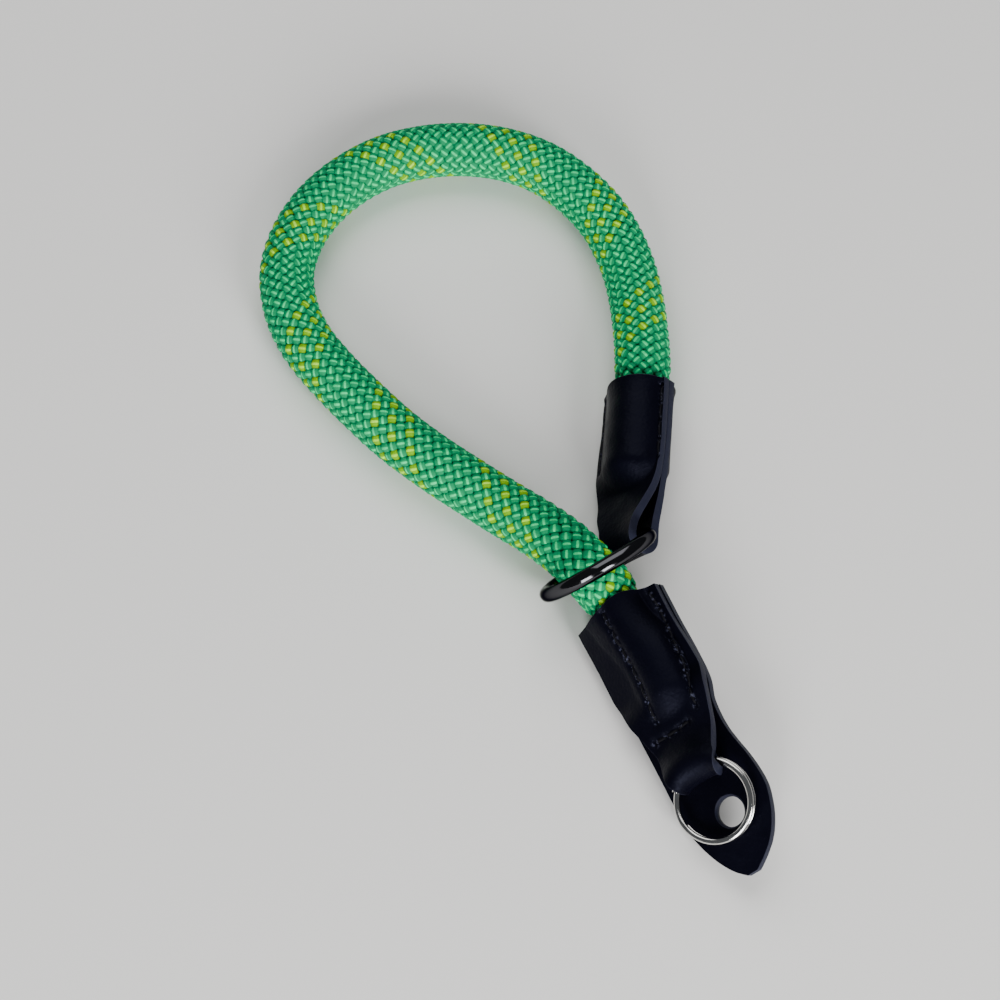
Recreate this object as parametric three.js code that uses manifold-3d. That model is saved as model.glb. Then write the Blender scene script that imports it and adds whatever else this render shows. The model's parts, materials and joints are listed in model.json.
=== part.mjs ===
// Wrist strap for a camera: a braided rope loop whose two ends are sewn into leather.
// One leather end holds a plain ring that slides along the rope and closes the loop on the wrist.
// The other holds a split ring for the camera, over a pointed leather guard with a hole.
// Millimetres, +Z up. The strap lies on z = 0, the rope loop reaches towards +Y, and the origin
// is under the middle of the leather and metal pieces.

import * as THREE from 'three';
import { mergeVertices } from 'three/addons/utils/BufferGeometryUtils.js';
import Module from 'manifold-3d';

const wasm = await Module();
wasm.setup();

// Driving dimensions.
const leather = {
  thickness: 1.5,
  gap: 0.3,
  slack: 0.2,
  mouthFlare: 0.2,
  flareLength: 4,
  footReach: 0.6,
  foldSlack: 0.3,
  foldLift: 0.42,
  tuckTaper: 0.7,
};
const rope = { radius: 5.5, sewnRadius: 4.1, sides: 12, steps: 76 };
const squeeze = { from: -4.5, to: 1.5 };
const wireRing = { coilRadius: 10.6, wireRadius: 1.4, ringTilt: 46, sides: 10, steps: 48 };
const splitRing = {
  coilRadius: 7,
  wireWidth: 1.1,
  wireHeight: 0.95,
  pitch: 1.03,
  crossing: 26,
  sag: -9.2,
  turned: -105,
  steps: 60,
};
const guardHole = { u: 42.1, w: 1.4, diameter: 5.3, sides: 24 };

// Where each sewn end lies: its mouth, and the turns that aim it, dip it and roll it.
const sliderEnd = {
  mouth: [-0.2, 47.2, 7.85],
  heading: -94.5,
  dip: 2,
  roll: 43,
  twist: 11,
  twistFrom: 18,
  insertion: 16,
  pocketAtMouth: 0.2,
  pocketInside: 0.1,
  foldCentre: 31.8,
  neckShift: 0,
};
const cameraEnd = {
  mouth: [-5, 1.35, 7.35],
  heading: -67,
  dip: 1.5,
  roll: 36,
  twist: 0,
  twistFrom: 18,
  insertion: 17.4,
  pocketAtMouth: -0.9,
  pocketInside: 1.6,
  foldCentre: 32.7,
  neckShift: 0.6,
};

// Along a sewn end: where the arch over the rope dies away past the rope's end, how long the
// pocket takes to shift across, and how near its fold the leather starts to follow the wire.
const archFade = { from: 0.9, to: 6.5 };
const pocketRun = 13;
const wireFollow = { from: 9, to: 1, reach: 0.75 };

// Where the slider's two lays start to part, and where the camera end's strip climbs onto its
// own tucked end and then onto its ring.
const sliderPartsAt = 19;
const stripClimb = { from: 16, to: 21.4, ringFrom: 26.5 };

// The middle of one leather lay when two lie flat on each other.
const flatLevel = (leather.thickness + leather.gap) / 2;
const layPitch = leather.thickness + leather.gap;

// Side outlines of the leather, across from its centre line, u along it from the mouth.
const sliderOutline = [
  { u: 0, left: -7.6, right: 7.0 },
  { u: 8, left: -7.9, right: 7.0 },
  { u: 15, left: -8.3, right: 6.8 },
  { u: 21, left: -8.2, right: 6.1 },
  { u: 26, left: -6.9, right: 5.0 },
  { u: 29.5, left: -5.2, right: 4.1 },
  { u: 36, left: -4.4, right: 3.9 },
];
const cameraOutline = [
  { u: 0, left: -9.1, right: 8.4 },
  { u: 6.9, left: -8.8, right: 8.5 },
  { u: 14.9, left: -8.6, right: 9.2 },
  { u: 19.9, left: -7.5, right: 9.3 },
  { u: 24.9, left: -6.0, right: 8.0 },
  { u: 28.9, left: -4.5, right: 6.4 },
  { u: 32.9, left: -4.1, right: 5.5 },
  { u: 38.9, left: -4.1, right: 5.3 },
];
const guardOutline = [
  { u: 0, left: -9.1, right: 8.6 },
  { u: 6.9, left: -8.8, right: 8.7 },
  { u: 14.9, left: -8.5, right: 9.0 },
  { u: 19.5, left: -8.3, right: 8.8 },
  { u: 23.5, left: -8.1, right: 7.7 },
  { u: 28.9, left: -7.9, right: 7.7 },
  { u: 35.9, left: -7.7, right: 9.2 },
  { u: 40.9, left: -7.5, right: 9.6 },
  { u: 44.4, left: -6.6, right: 8.8 },
  { u: 47.4, left: -5.4, right: 7.45 },
  { u: 49.9, left: -4.0, right: 5.6 },
  { u: 51.9, left: -2.4, right: 3.2 },
  { u: 53.2, left: -0.9, right: 1.2 },
];

// Where the rows of points of each leather stand, along it from the mouth, and the number of
// rows round a fold.
const sliderRows = [0, 1.2, 3, 5, 8, 12, 15.8, 17.4, 19, 20.6, 22.2, 24, 26, 28, 30];
const cameraRows = [0, 1.2, 3, 5, 7.5, 11, 15, 17.5, 19.1, 20.7, 22.3, 24.1, 26, 28, 30];
const tuckedRows = [29.4, 26.4, 22.9];
const guardRows = [
  0, 1.2, 3, 5, 7.5, 11, 15, 17.5, 19.1, 20.7, 22.3, 24.1,
  29, 34, 38, 41, 44, 46.5, 48.5, 50.2, 51.6, 52.6, 53.2,
];
const foldRows = 9;

// The flat wire's section, as parts of its width and height: a rectangle with cut corners.
const wireSection = [
  { out: -0.5, up: -0.28 }, { out: -0.28, up: -0.5 }, { out: 0.28, up: -0.5 },
  { out: 0.5, up: -0.28 }, { out: 0.5, up: 0.28 }, { out: 0.28, up: 0.5 },
  { out: -0.28, up: 0.5 }, { out: -0.5, up: 0.28 },
];

// Centre line of the rope, from its end inside the slider's leather round to its other end.
const ropeRoute = [
  [-1.4, 31.2, 7.4],
  [-0.65, 40.2, 7.75],
  [-0.05, 47.2, 8.0],
  [0.3, 53.0, 7.75],
  [0.3, 59.1, 6.9],
  [-0.2, 67.6, 6.0],
  [-1.4, 75.6, 5.6],
  [-3.7, 83.1, 5.55],
  [-7.1, 89.9, 5.55],
  [-12.1, 96.1, 5.55],
  [-18.4, 101.3, 5.55],
  [-25.9, 104.6, 5.55],
  [-34.1, 105.9, 5.55],
  [-42.6, 105.3, 5.55],
  [-50.6, 102.8, 5.55],
  [-57.8, 98.1, 5.55],
  [-63.6, 91.8, 5.55],
  [-67.6, 84.1, 5.55],
  [-69.3, 75.6, 5.55],
  [-68.1, 67.1, 5.55],
  [-64.7, 59.4, 5.55],
  [-59.6, 52.4, 5.55],
  [-53.7, 45.7, 5.55],
  [-47.1, 38.9, 5.55],
  [-40.4, 33.2, 5.55],
  [-33.3, 27.9, 5.6],
  [-26.3, 22.7, 6.0],
  [-20.2, 17.9, 7.2],
  [-15.3, 13.2, 8.7],
  [-11.6, 9.1, 9.0],
  [-9.0, 6.3, 8.3],
  [-7.3, 4.2, 7.5],
  [-5.85, 1.2, 7.05],
  [-4.3, -1.5, 7.0],
  [-2.45, -4.2, 7.35],
  [0.75, -9.1, 7.9],
  [3.0, -14.1, 7.8],
];

const radians = THREE.MathUtils.degToRad;
const smooth = THREE.MathUtils.smoothstep;
const mix = THREE.MathUtils.lerp;

// Small tools.

// Reads one column of a table of rows at u, on a smooth curve through the rows.
function readTable(table, column, u) {
  const last = table.length - 1;
  const at = THREE.MathUtils.clamp(u, table[0].u, table[last].u);
  let row = 0;
  while (row < last - 1 && table[row + 1].u < at) row += 1;
  const slope = (index) => {
    const before = table[Math.max(index - 1, 0)];
    const after = table[Math.min(index + 1, last)];
    return (after[column] - before[column]) / (after.u - before.u);
  };
  const [from, to] = [table[row], table[row + 1]];
  const span = to.u - from.u;
  const t = (at - from.u) / span;
  const start = (2 * t ** 3 - 3 * t ** 2 + 1) * from[column];
  const end = (3 * t ** 2 - 2 * t ** 3) * to[column];
  const leave = (t ** 3 - 2 * t ** 2 + t) * span * slope(row);
  const arrive = (t ** 3 - t ** 2) * span * slope(row + 1);
  return start + end + leave + arrive;
}

// Evenly spaced values from first to last.
function spread(first, last, count) {
  return Array.from({ length: count }, (_, i) => mix(first, last, i / (count - 1)));
}

// A closed body from a grid of middle points: each is moved half the thickness both ways
// along the surface's normal, and the four rims are closed.
function leatherBody(grid) {
  const rows = grid.length;
  const columns = grid[0].length;
  const half = leather.thickness / 2;
  const points = [];
  const faceOf = (row, column, side) => (row * columns + column) * 2 + side;
  for (let row = 0; row < rows; row += 1) {
    for (let column = 0; column < columns; column += 1) {
      const along = new THREE.Vector3().subVectors(
        grid[Math.min(row + 1, rows - 1)][column],
        grid[Math.max(row - 1, 0)][column],
      );
      const across = new THREE.Vector3().subVectors(
        grid[row][Math.min(column + 1, columns - 1)],
        grid[row][Math.max(column - 1, 0)],
      );
      const normal = along.cross(across).normalize();
      const middle = grid[row][column];
      points.push(middle.clone().addScaledVector(normal, half));
      points.push(middle.clone().addScaledVector(normal, -half));
    }
  }
  const faces = [];
  const quad = (a, b, c, d) => faces.push(a, b, c, a, c, d);
  for (let row = 0; row < rows - 1; row += 1) {
    for (let column = 0; column < columns - 1; column += 1) {
      const corner = (side) => [
        faceOf(row, column, side),
        faceOf(row + 1, column, side),
        faceOf(row + 1, column + 1, side),
        faceOf(row, column + 1, side),
      ];
      quad(...corner(0));
      quad(...corner(1).reverse());
    }
  }
  for (let row = 0; row < rows - 1; row += 1) {
    const far = columns - 1;
    quad(faceOf(row, 0, 1), faceOf(row + 1, 0, 1), faceOf(row + 1, 0, 0), faceOf(row, 0, 0));
    quad(faceOf(row, far, 0), faceOf(row + 1, far, 0), faceOf(row + 1, far, 1), faceOf(row, far, 1));
  }
  for (let column = 0; column < columns - 1; column += 1) {
    const far = rows - 1;
    quad(faceOf(0, column, 0), faceOf(0, column + 1, 0), faceOf(0, column + 1, 1), faceOf(0, column, 1));
    quad(
      faceOf(far, column, 1), faceOf(far, column + 1, 1),
      faceOf(far, column + 1, 0), faceOf(far, column, 0),
    );
  }
  const geometry = new THREE.BufferGeometry().setFromPoints(points);
  geometry.setIndex(faces);
  return geometry;
}

// A closed solid of manifold-3d from a three.js geometry, and back.
function toSolid(geometry) {
  const bare = geometry.clone();
  bare.deleteAttribute('normal');
  bare.deleteAttribute('uv');
  const merged = mergeVertices(bare, 1e-4);
  return new wasm.Manifold(new wasm.Mesh({
    numProp: 3,
    vertProperties: new Float32Array(merged.attributes.position.array),
    triVerts: new Uint32Array(merged.index.array),
  }));
}

function toGeometry(solid) {
  const mesh = solid.getMesh();
  const geometry = new THREE.BufferGeometry();
  geometry.setAttribute('position', new THREE.BufferAttribute(mesh.vertProperties, 3));
  geometry.setIndex(new THREE.BufferAttribute(mesh.triVerts, 1));
  return geometry;
}

function piece(name, geometry, material) {
  geometry.computeVertexNormals();
  const mesh = new THREE.Mesh(geometry, material);
  mesh.name = name;
  return mesh;
}

// Leather.

// The columns of a leather lay, from its left edge to its right one. Over the rope they stand
// at these turns around it; beyond the turns they lie on the flange, this far out along it.
const archTurns = [-76, -58, -40, -20, 0, 20, 40, 58, 76];
const flangeSteps = [0, 0.5, 1];

// Radius of the rope at u from its leather's mouth: full outside, squeezed where it is sewn.
function sewnRadiusAt(u) {
  return mix(rope.radius, rope.sewnRadius, smooth(u, squeeze.from, squeeze.to));
}

// How far the rope's pocket lies to the right of the leather's centre line.
function pocketShift(end, u) {
  return mix(end.pocketAtMouth, end.pocketInside, smooth(u, 0, pocketRun));
}

// Across and height of every column of a lay at u. The lay arches over the rope as far as the
// rope reaches, then sinks to the flat level given.
function layProfile(outline, end, u, level) {
  const left = readTable(outline, 'left', u);
  const right = readTable(outline, 'right', u);
  const arch = 1 - smooth(u, end.insertion + archFade.from, end.insertion + archFade.to);
  const flare = leather.mouthFlare * (1 - smooth(u, 0, leather.flareLength));
  const centre = pocketShift(end, u);
  const lean = Math.hypot(1, pocketShift(end, u + 0.5) - pocketShift(end, u - 0.5));
  const clear = leather.gap + leather.slack + flare + leather.thickness / 2;
  const radius = sewnRadiusAt(u) * lean + clear;
  const foot = radius + leather.footReach;
  const arched = [
    ...flangeSteps.map((step) => [mix(centre - foot, left, step), level]).reverse(),
    ...archTurns.map((turn) => [
      centre + radius * Math.sin(radians(turn)),
      Math.max(radius * Math.cos(radians(turn)), level),
    ]),
    ...flangeSteps.map((step) => [mix(centre + foot, right, step), level]),
  ];
  const last = arched.length - 1;
  return arched.map(([across, height], column) => ({
    across: mix(mix(left, right, column / last), across, arch),
    height: mix(level, height, arch),
  }));
}

// How far a ring's wire curves away from a straight fold at this distance from its middle.
function wireBow(coilRadius, across) {
  return coilRadius - Math.sqrt(coilRadius ** 2 - across ** 2);
}

// How much longer a step across the wire is than along the fold's own length, where it curves.
function wireLean(coilRadius, across) {
  return 1 / Math.sqrt(1 - (across / coilRadius) ** 2);
}

// Moves a middle point with the curve of the wire that the fold holds, more the nearer it is.
function followWire(point, end, coilRadius, tilt) {
  const near = smooth(point.x, end.foldCentre - wireFollow.from, end.foldCentre - wireFollow.to);
  const reach = Math.min(Math.abs(point.y - end.neckShift), wireFollow.reach * coilRadius);
  const bow = wireBow(coilRadius, reach) * near;
  point.x += bow * Math.cos(radians(tilt));
  point.z += bow * Math.sin(radians(tilt));
  return point;
}

// Turns a point about the end's long axis by the twist that has built up at u.
function twistPoint(point, end) {
  const turn = radians(end.twist) * smooth(point.x, end.twistFrom, end.foldCentre);
  return point.applyAxisAngle(new THREE.Vector3(1, 0, 0), turn);
}

// The slider's leather: one strip, from the mouth over the rope, round the ring and back under.
function sliderSleeve() {
  const end = sliderEnd;
  const foldRadius = wireRing.wireRadius + leather.foldSlack + leather.gap / 2 + leather.thickness / 2;
  const levelAt = (u) => mix(flatLevel, foldRadius, smooth(u, sliderPartsAt, end.foldCentre));
  const grid = [];
  const addRow = (u, side, profile) => grid.push(profile.map(({ across, height }) => {
    const point = new THREE.Vector3(u, across, side * height);
    return twistPoint(followWire(point, end, wireRing.coilRadius, wireRing.ringTilt), end);
  }));
  const layAt = (u) => layProfile(sliderOutline, end, u, levelAt(u));
  sliderRows.forEach((u) => addRow(u, 1, layAt(u)));
  for (const turn of spread(0, 180, foldRows)) {
    const u = end.foldCentre + foldRadius * Math.sin(radians(turn));
    const height = foldRadius * Math.cos(radians(turn));
    addRow(u, 1, layAt(end.foldCentre).map(({ across }) => ({ across, height })));
  }
  sliderRows.toReversed().forEach((u) => addRow(u, -1, layAt(u)));
  return leatherBody(grid);
}

// Heights on the camera's end: the guard lies lowest, the strip's tucked end on it, and the
// strip itself on that. The split ring's fold stands on the guard's lay.
const guardLevel = -flatLevel;
const tuckLevel = guardLevel + layPitch;
const stripLevel = tuckLevel + layPitch;
const ringHalfHeight = (splitRing.pitch + splitRing.wireHeight) / 2;
const splitFold = {
  reach: splitRing.wireWidth / 2 + leather.foldSlack + leather.gap / 2 + leather.thickness / 2,
  rise: ringHalfHeight + leather.foldSlack + leather.foldLift + leather.gap / 2 + leather.thickness / 2,
  loose: 0.8,
};
const splitFoldLevel = tuckLevel + splitFold.rise;

// The camera end's upper leather: over the rope, round the split ring and tucked back under.
function cameraSleeve() {
  const end = cameraEnd;
  const grid = [];
  const addRow = (u, profile) => grid.push(profile.map(({ across, height }) => (
    followWire(new THREE.Vector3(u, across, height), end, splitRing.coilRadius, 0)
  )));
  const levelAt = (u) => {
    const sewn = mix(flatLevel, stripLevel, smooth(u, stripClimb.from, stripClimb.to));
    return mix(sewn, splitFoldLevel + splitFold.rise, smooth(u, stripClimb.ringFrom, end.foldCentre));
  };
  const layAt = (u) => layProfile(cameraOutline, end, u, levelAt(u));
  cameraRows.forEach((u) => addRow(u, layAt(u)));
  const neck = layAt(end.foldCentre);
  for (const turn of spread(0, 180, foldRows)) {
    const height = splitFoldLevel + splitFold.rise * Math.cos(radians(turn));
    grid.push(neck.map(({ across }) => {
      const off = (across - end.neckShift) * mix(1, leather.tuckTaper, turn / 180);
      const lean = wireLean(splitRing.coilRadius, off);
      const loose = splitFold.loose * (1 - (2 * off / splitRing.coilRadius) ** 2);
      const reach = splitFold.reach * lean + Math.max(loose, 0);
      const u = end.foldCentre + reach * Math.sin(radians(turn));
      return followWire(
        new THREE.Vector3(u, end.neckShift + off, height), end, splitRing.coilRadius, 0,
      );
    }));
  }
  for (const u of tuckedRows) {
    addRow(u, neck.map(({ across }) => ({
      across: end.neckShift + leather.tuckTaper * (across - end.neckShift), height: tuckLevel,
    })));
  }
  return leatherBody(grid);
}

// The camera end's lower leather, which runs on past the sleeve as the pointed guard.
function guardFlap() {
  const grid = guardRows.map((u) => (
    layProfile(guardOutline, cameraEnd, u, flatLevel)
      .map(({ across, height }) => new THREE.Vector3(u, across, -height))
      .reverse()
  ));
  const drill = new THREE.CylinderGeometry(
    guardHole.diameter / 2, guardHole.diameter / 2, 6 * leather.thickness, guardHole.sides,
  );
  drill.rotateX(Math.PI / 2);
  drill.translate(guardHole.u, guardHole.w, guardLevel);
  return toGeometry(toSolid(leatherBody(grid)).subtract(toSolid(drill)));
}

// Metal.

// The plain wire ring that slides on the rope, centred on its own middle.
function sliderRingBody() {
  return new THREE.TorusGeometry(
    wireRing.coilRadius, wireRing.wireRadius, wireRing.sides, wireRing.steps,
  );
}

// The split ring: flat wire in two turns, one on the other, crossing over between its two ends.
function splitRingBody() {
  const { crossing } = splitRing;
  const points = [];
  for (const turn of spread(crossing, 720 - crossing, splitRing.steps)) {
    const level = mix(-0.5, 0.5, smooth(turn, 360 - crossing, 360 + crossing)) * splitRing.pitch;
    for (const { out, up } of wireSection) {
      const radius = splitRing.coilRadius + out * splitRing.wireWidth;
      points.push(new THREE.Vector3(
        radius * Math.cos(radians(turn)),
        radius * Math.sin(radians(turn)),
        level + up * splitRing.wireHeight,
      ));
    }
  }
  const faces = [];
  const sides = wireSection.length;
  for (let step = 0; step < splitRing.steps - 1; step += 1) {
    for (let side = 0; side < sides; side += 1) {
      const next = (side + 1) % sides;
      const [a, b] = [step * sides + side, step * sides + next];
      faces.push(a, b + sides, b, a, a + sides, b + sides);
    }
  }
  const end = (splitRing.steps - 1) * sides;
  for (let side = 1; side < sides - 1; side += 1) {
    faces.push(0, side, side + 1);
    faces.push(end, end + side + 1, end + side);
  }
  const geometry = new THREE.BufferGeometry().setFromPoints(points);
  geometry.setIndex(faces);
  return geometry;
}

// Rope.

// The rope: a round tube on its route, squeezed thinner where the leather is sewn round it.
function ropeBody() {
  const route = ropeRoute.map(([x, y, z]) => new THREE.Vector3(x, y, z));
  const path = new THREE.CatmullRomCurve3(route, false, 'centripetal');
  const outline = new THREE.Shape(spread(0, 360, rope.sides + 1).slice(0, -1).map((turn) => (
    new THREE.Vector2(rope.radius * Math.cos(radians(turn)), rope.radius * Math.sin(radians(turn)))
  )));
  const tube = new THREE.ExtrudeGeometry(outline, {
    steps: rope.steps, extrudePath: path, bevelEnabled: false,
  });
  const stations = path.getSpacedPoints(rope.steps);
  const length = path.getLength();
  const positions = tube.attributes.position;
  const point = new THREE.Vector3();
  for (let index = 0; index < positions.count; index += 1) {
    point.fromBufferAttribute(positions, index);
    const distances = stations.map((station) => station.distanceToSquared(point));
    const nearest = distances.indexOf(Math.min(...distances));
    const along = (nearest / rope.steps) * length;
    const inside = Math.max(sliderEnd.insertion - along, cameraEnd.insertion - (length - along));
    point.lerp(stations[nearest], 1 - sewnRadiusAt(inside) / rope.radius);
    positions.setXYZ(index, point.x, point.y, point.z);
  }
  return tube;
}

// Assembly.

const materials = {
  rope: new THREE.MeshStandardMaterial({ color: 0x17b569, roughness: 0.75, metalness: 0 }),
  leather: new THREE.MeshStandardMaterial({ color: 0x1b1b24, roughness: 0.5, metalness: 0 }),
  gunmetal: new THREE.MeshStandardMaterial({ color: 0x2b2b30, roughness: 0.15, metalness: 1 }),
  nickel: new THREE.MeshStandardMaterial({ color: 0xc9c6c0, roughness: 0.18, metalness: 1 }),
};

// A group in a sewn end's own frame: x from the mouth to the ring, y across and z up.
function endGroup(end) {
  const group = new THREE.Group();
  group.position.set(...end.mouth);
  group.rotation.set(radians(end.roll), radians(end.dip), radians(end.heading), 'ZYX');
  return group;
}

// A holder at the wire in an end's fold, turned into the plane that the ring lies in.
function foldHolder(end, level, tilt) {
  const twist = new THREE.Group();
  twist.rotation.x = radians(end.twist);
  const holder = new THREE.Group();
  holder.position.set(end.foldCentre, end.neckShift, level);
  holder.rotation.y = -radians(tilt);
  twist.add(holder);
  return { twist, holder };
}

const group = new THREE.Group();
group.add(piece('rope', ropeBody(), materials.rope));

const sliderGroup = endGroup(sliderEnd);
sliderGroup.add(piece('slider_sleeve', sliderSleeve(), materials.leather));
const sliderHold = foldHolder(sliderEnd, 0, wireRing.ringTilt);
const sliderRing = piece('slider_ring', sliderRingBody(), materials.gunmetal);
sliderRing.position.x = wireRing.coilRadius;
sliderHold.holder.add(sliderRing);
sliderGroup.add(sliderHold.twist);
group.add(sliderGroup);

const cameraGroup = endGroup(cameraEnd);
cameraGroup.add(piece('camera_sleeve', cameraSleeve(), materials.leather));
cameraGroup.add(piece('guard_flap', guardFlap(), materials.leather));
const cameraHold = foldHolder(cameraEnd, splitFoldLevel, splitRing.sag);
const cameraRing = piece('split_ring', splitRingBody(), materials.nickel);
cameraRing.position.x = splitRing.coilRadius;
cameraRing.rotation.z = radians(splitRing.turned);
cameraHold.holder.add(cameraRing);
cameraGroup.add(cameraHold.twist);
group.add(cameraGroup);

export default group;
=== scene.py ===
import json
import math

import bpy
import numpy as np
from mathutils import Euler, Matrix, Vector, noise

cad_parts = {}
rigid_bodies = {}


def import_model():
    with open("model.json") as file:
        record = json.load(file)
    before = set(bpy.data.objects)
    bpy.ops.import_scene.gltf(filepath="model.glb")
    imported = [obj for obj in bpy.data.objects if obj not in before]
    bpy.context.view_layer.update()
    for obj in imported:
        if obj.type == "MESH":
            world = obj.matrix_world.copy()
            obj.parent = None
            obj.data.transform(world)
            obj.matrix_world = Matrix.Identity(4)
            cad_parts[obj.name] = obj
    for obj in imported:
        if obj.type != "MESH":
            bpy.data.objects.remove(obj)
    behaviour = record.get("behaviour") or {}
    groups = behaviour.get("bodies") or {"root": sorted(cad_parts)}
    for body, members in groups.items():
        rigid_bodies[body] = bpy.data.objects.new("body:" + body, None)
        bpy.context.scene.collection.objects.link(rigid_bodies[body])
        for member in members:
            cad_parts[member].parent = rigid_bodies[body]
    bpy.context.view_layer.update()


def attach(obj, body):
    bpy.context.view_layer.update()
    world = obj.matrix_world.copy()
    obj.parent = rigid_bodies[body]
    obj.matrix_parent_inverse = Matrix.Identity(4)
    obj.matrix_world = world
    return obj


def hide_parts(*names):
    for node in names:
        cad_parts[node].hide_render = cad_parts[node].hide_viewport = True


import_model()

# A camera wrist strap: a braided rope loop, a leather end that holds the plain ring it runs
# through, and a leather end with a split ring and a pointed guard. Places are in metres.
mm = 0.001


def deselectAll():
    for obj in bpy.context.view_layer.objects:
        obj.select_set(False)


def choose(obj):
    deselectAll()
    obj.select_set(True)
    bpy.context.view_layer.objects.active = obj


def applyAll(obj):
    choose(obj)
    for modifier in list(obj.modifiers):
        bpy.ops.object.modifier_apply(modifier=modifier.name)


def mix(a, b, t):
    return a + (b - a) * t


def smooth(x, low, high):
    t = np.clip((np.asarray(x, float) - low) / (high - low), 0, 1)
    return t * t * (3 - 2 * t)


def unit(vectors):
    return vectors / np.linalg.norm(vectors, axis=1)[:, None]


# A round of unit vectors for each pair of directions, which stand square to each other.
def circle(first, second, sides):
    turn = np.linspace(0, 2 * math.pi, sides, endpoint=False)
    return np.cos(turn)[None, :, None] * first[:, None] + np.sin(turn)[None, :, None] * second[:, None]


# The strap is one body, and nodes are the frame's pieces that this one stands for.
def place(obj, slotName, *nodes):
    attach(obj, "root")
    if nodes:
        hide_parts(*nodes)


def meshFrom(name, points, faces, uvs=None):
    mesh = bpy.data.meshes.new(name)
    mesh.from_pydata(points.tolist(), [], faces)
    if uvs is not None:
        layer = mesh.uv_layers.new(name="lay")
        layer.data.foreach_set("uv", np.asarray(uvs, np.float32).ravel())
    mesh.shade_smooth()
    obj = bpy.data.objects.new(name, mesh)
    bpy.context.scene.collection.objects.link(obj)
    return obj


# The faces of a tube: rows of points along a path, each joined to the next, closed at both ends.
def tubeFaces(rows, first=0):
    steps, sides = rows.shape[:2]
    grid = first + np.arange(steps * sides).reshape(steps, sides)
    faces = []
    for i in range(steps - 1):
        for k in range(sides):
            after = (k + 1) % sides
            faces.append((grid[i, k], grid[i, after], grid[i + 1, after], grid[i + 1, k]))
    faces.append(tuple(grid[0][::-1]))
    faces.append(tuple(grid[-1]))
    return faces


# One node material, with short names for the nodes that the finishes below are made of.
class Finish:
    def __init__(self, name):
        self.material = bpy.data.materials.new(name)
        self.material.use_nodes = True
        self.tree = self.material.node_tree
        self.shader = self.tree.nodes["Principled BSDF"]

    def add(self, kind, **values):
        node = self.tree.nodes.new(kind)
        for key, value in values.items():
            setattr(node, key, value)
        return node

    def join(self, source, target):
        self.tree.links.new(source, target)

    def math(self, operation, a, b=None, clamp=False):
        node = self.add("ShaderNodeMath", operation=operation, use_clamp=clamp)
        for socket, value in zip(node.inputs, (a, b)):
            if value is None:
                continue
            if isinstance(value, (int, float)):
                socket.default_value = value
            else:
                self.join(value, socket)
        return node.outputs[0]

    def ramp(self, value, low, high, start=0.0, end=1.0):
        node = self.add("ShaderNodeMapRange", interpolation_type="SMOOTHSTEP")
        self.join(value, node.inputs["Value"])
        node.inputs["From Min"].default_value = low
        node.inputs["From Max"].default_value = high
        node.inputs["To Min"].default_value = start
        node.inputs["To Max"].default_value = end
        return node.outputs[0]

    def blend(self, factor, a, b):
        node = self.add("ShaderNodeMix", data_type="RGBA")
        sockets = (node.inputs[0], node.inputs[6], node.inputs[7])  # the factor and the two colours
        for socket, value in zip(sockets, (factor, a, b)):
            if isinstance(value, (int, float)):
                socket.default_value = value
            elif isinstance(value, tuple):
                socket.default_value = (*value, 1.0)
            else:
                self.join(value, socket)
        return node.outputs[2]

    def noise(self, vector, scale, detail=3.0, roughness=0.55):
        node = self.add("ShaderNodeTexNoise")
        self.join(vector, node.inputs["Vector"])
        node.inputs["Scale"].default_value = scale
        node.inputs["Detail"].default_value = detail
        node.inputs["Roughness"].default_value = roughness
        return node.outputs["Fac"]

    def objectPoint(self):
        return self.add("ShaderNodeTexCoord").outputs["Object"]

    def bump(self, height, distance, strength=1.0, before=None):
        node = self.add("ShaderNodeBump")
        node.inputs["Strength"].default_value = strength
        node.inputs["Distance"].default_value = distance
        self.join(height, node.inputs["Height"])
        if before is not None:
            self.join(before, node.inputs["Normal"])
        self.join(node.outputs["Normal"], self.shader.inputs["Normal"])
        return node.outputs["Normal"]

    def colour(self, source):
        self.join(source, self.shader.inputs["Base Color"])

    def roughness(self, source):
        self.join(source, self.shader.inputs["Roughness"])

    def set(self, **values):
        for key, value in values.items():
            self.shader.inputs[key.replace("_", " ")].default_value = value


# The yarns' map runs 1 from float to float along a yarn, and 1 round it with its top at a quarter.
yarnFinish = {
    # Painted shade: the colour runs from the dark valley shade to the body's own colour, towards a float's
    # middle.
    "outOfShade": (0.36, 0.12),  # from the valley's colour to the body's, towards a float's middle
    # The painted highlight: a pale dash of this length and width on each float's top.
    "highlightLength": (0.060, 0.032),
    "highlightWidth": (0.25, 0.19),
    "filaments": (1.6, 46.0, 1.0),
    "filamentDepth": 0.00012,
    "patches": 420.0,
    "roughness": (0.45, 0.65),
    "shine": 0.08,
}
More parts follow.
